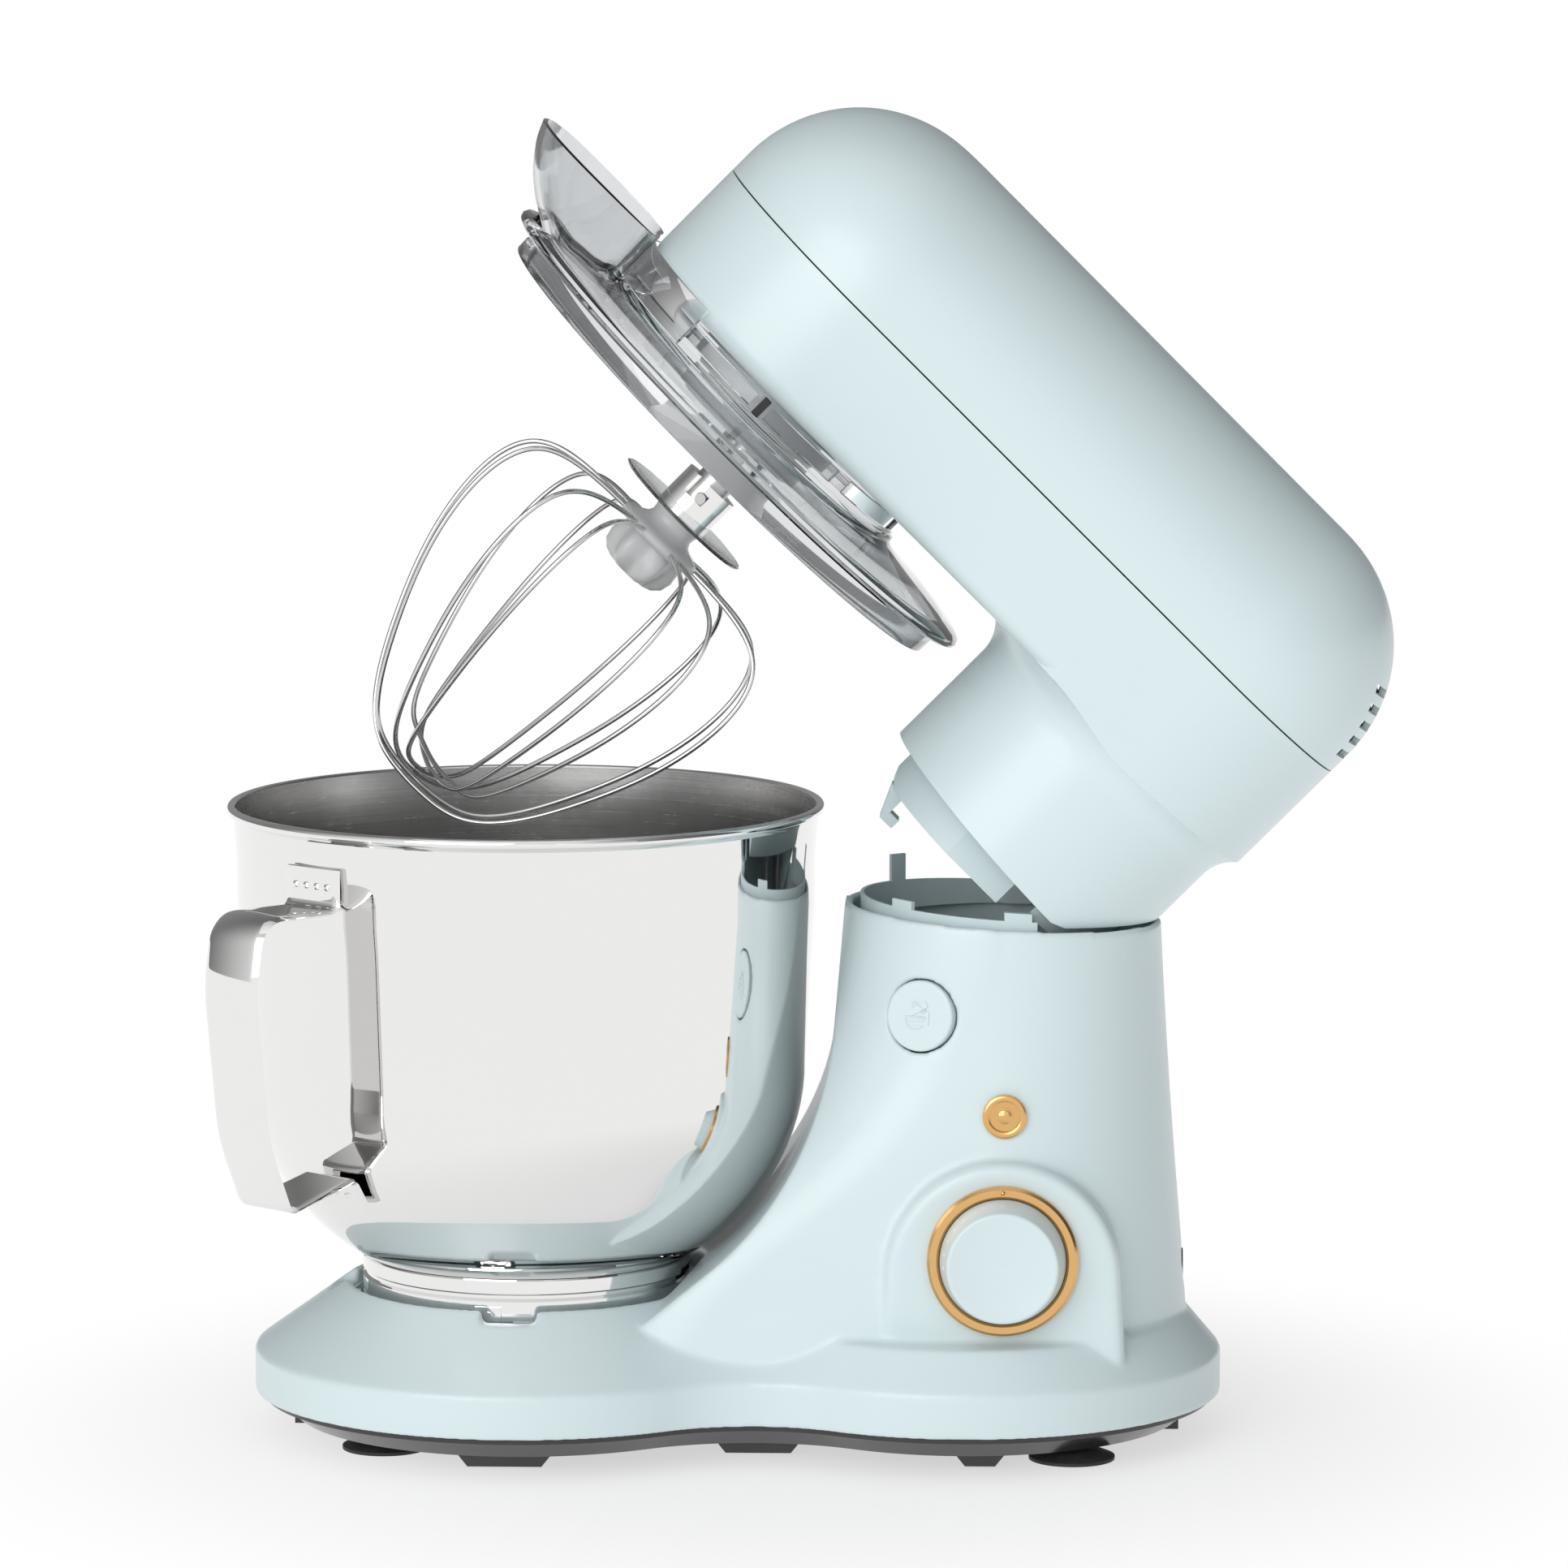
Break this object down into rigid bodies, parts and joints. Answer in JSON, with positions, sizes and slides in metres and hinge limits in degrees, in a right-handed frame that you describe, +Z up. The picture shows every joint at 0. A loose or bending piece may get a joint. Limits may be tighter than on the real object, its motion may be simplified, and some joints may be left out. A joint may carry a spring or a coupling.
{
  "type": "stand mixer",
  "caption": "Tilt-head stand mixer with a raised head, steel bowl with side handle, clear splash shield with pouring chute, balloon whisk and a round speed knob.",
  "frame": {"origin": "point on the worktop under the bowl's axis, at the height of the suction feet", "axes": "+X from the bowl towards the column, +Z up, -Y towards the side with the speed knob"},
  "size_m": [0.4314, 0.2351, 0.4913],
  "materials": {
    "body_shell": "satin pale blue-green enamel on moulded shell",
    "black_base": "black moulded plastic",
    "rubber": "black rubber",
    "steel_zinc": "plated steel",
    "seat_metal": "painted die-cast seat",
    "gold": "brushed gold",
    "dark_plastic": "dark engineering plastic",
    "board": "circuit board",
    "chrome": "polished stainless steel, brushed inside",
    "cast": "die-cast",
    "bronze": "sintered bronze",
    "lamination": "steel laminations",
    "copper": "copper windings",
    "carbon": "carbon",
    "belt_rubber": "ribbed belt",
    "gear_plastic": "acetal",
    "gear_steel": "hardened steel",
    "carrier_gray": "light gray moulding",
    "smoke_clear": "smoke-tinted clear plastic",
    "hub_gray": "light gray moulding",
    "clear_guard": "milky clear plastic",
    "fan_plastic": "black fan"
  },
  "bodies": {
    "stand": {"stand_shell": "body_shell", "bottom_plate": "black_base", "edge_feet": "black_base", "suction_feet": "rubber", "bottom_screws": "steel_zinc", "bowl_seat": "seat_metal", "seat_screws": "steel_zinc", "column_collar": "body_shell", "hinge_bracket": "cast", "hinge_pin": "gear_steel", "dial_ring": "gold", "speed_switch": "dark_plastic", "control_board": "board", "badge": "gold", "cord_inlet": "dark_plastic", "button_spring": "steel_zinc"},
    "knob": {"speed_knob": "body_shell", "knob_shaft": "gear_steel"},
    "button": {"tilt_button": "body_shell"},
    "latch": {"latch_bolt": "steel_zinc"},
    "seat_ring": {"seat_pad": "rubber"},
    "bowl_unit": {"bowl": "chrome", "bowl_foot": "chrome", "bowl_lugs": "chrome", "bowl_handle": "chrome"},
    "head": {"upper_housing": "body_shell", "lower_housing": "body_shell", "neck_sleeve": "body_shell", "neck_plug": "body_shell", "latch_hook": "body_shell", "head_frame": "cast", "hinge_bushes": "bronze", "frame_screws": "steel_zinc", "shaft_bearings": "bronze", "motor_stator": "lamination", "field_coils": "copper", "motor_cage": "dark_plastic", "carbon_brushes": "carbon", "drive_belt": "belt_rubber", "ring_gear": "gear_steel", "splash_shield": "smoke_clear", "pour_chute": "smoke_clear"},
    "rotor": {"motor_shaft": "gear_steel", "motor_rotor": "lamination", "commutator": "copper", "cooling_fan": "fan_plastic", "motor_pulley": "gear_steel"},
    "layshaft_unit": {"layshaft": "gear_steel", "large_pulley": "gear_plastic", "layshaft_pinion": "gear_steel"},
    "planetary": {"planet_carrier": "carrier_gray", "drive_gear": "gear_plastic"},
    "planet": {"planet_gear": "gear_steel", "planet_shaft": "gear_steel", "bayonet_pin": "gear_steel"},
    "whisk": {"whisk_socket": "chrome", "whisk_guard": "clear_guard", "whisk_hub": "hub_gray", "whisk_wires": "chrome"}
  },
  "joints": [
    {"name": "head_tilt", "type": "hinge", "parent": "stand", "child": "head", "pos_m": [0.2036, 0, 0.2097], "axis": [0, 1, 0], "range_deg": [-45, 0]},
    {"name": "speed_select", "type": "hinge", "parent": "stand", "child": "knob", "pos_m": [0.1775, -0.07, 0.0764], "axis": [0, 1, 0], "range_deg": [0, 150]},
    {"name": "button_press", "type": "slide", "parent": "stand", "child": "button", "axis": [0.3878, 0.9136, -0.1219], "range_m": [0, 0.003], "stiffness_N_per_m": 400, "deforming": ["button_spring"]},
    {"name": "latch_slide", "type": "slide", "parent": "stand", "child": "latch", "axis": [1, 0, 0], "range_m": [0, 0.0045]},
    {"name": "bowl_twist", "type": "hinge", "parent": "stand", "child": "seat_ring", "pos_m": [0, 0, 0.0431], "axis": [0, 0, 1], "range_deg": [-20, 0]},
    {"name": "bowl_lift", "type": "slide", "parent": "seat_ring", "child": "bowl_unit", "axis": [0, 0, 1], "range_m": [0, 0.02]},
    {"name": "planetary_spin", "type": "hinge", "parent": "head", "child": "planetary", "pos_m": [0.07752, 0, 0.37156], "axis": [0.7071, 0, 0.7071], "continuous": true},
    {"name": "layshaft_spin", "type": "hinge", "parent": "head", "child": "layshaft_unit", "pos_m": [0.13409, 0, 0.37156], "axis": [0.7071, 0, 0.7071], "continuous": true},
    {"name": "rotor_spin", "type": "hinge", "parent": "head", "child": "rotor", "pos_m": [0.24369, 0, 0.2761], "axis": [0.7071, 0, 0.7071], "continuous": true},
    {"name": "planet_spin", "type": "hinge", "parent": "planetary", "child": "planet", "pos_m": [0.08261, -0.01429, 0.36647], "axis": [0.7071, 0, 0.7071], "continuous": true},
    {"name": "whisk_release", "type": "hinge", "parent": "planet", "child": "whisk", "pos_m": [0.06599, -0.01429, 0.34986], "axis": [0.7071, 0, 0.7071], "range_deg": [0, 25]}
  ],
  "couplings": [
    {"joint": "latch_slide", "follows": "button_press", "ratio": 1.5},
    {"joint": "layshaft_spin", "follows": "planetary_spin", "ratio": -3},
    {"joint": "rotor_spin", "follows": "planetary_spin", "ratio": -9},
    {"joint": "planet_spin", "follows": "planetary_spin", "ratio": -2.7778}
  ]
}
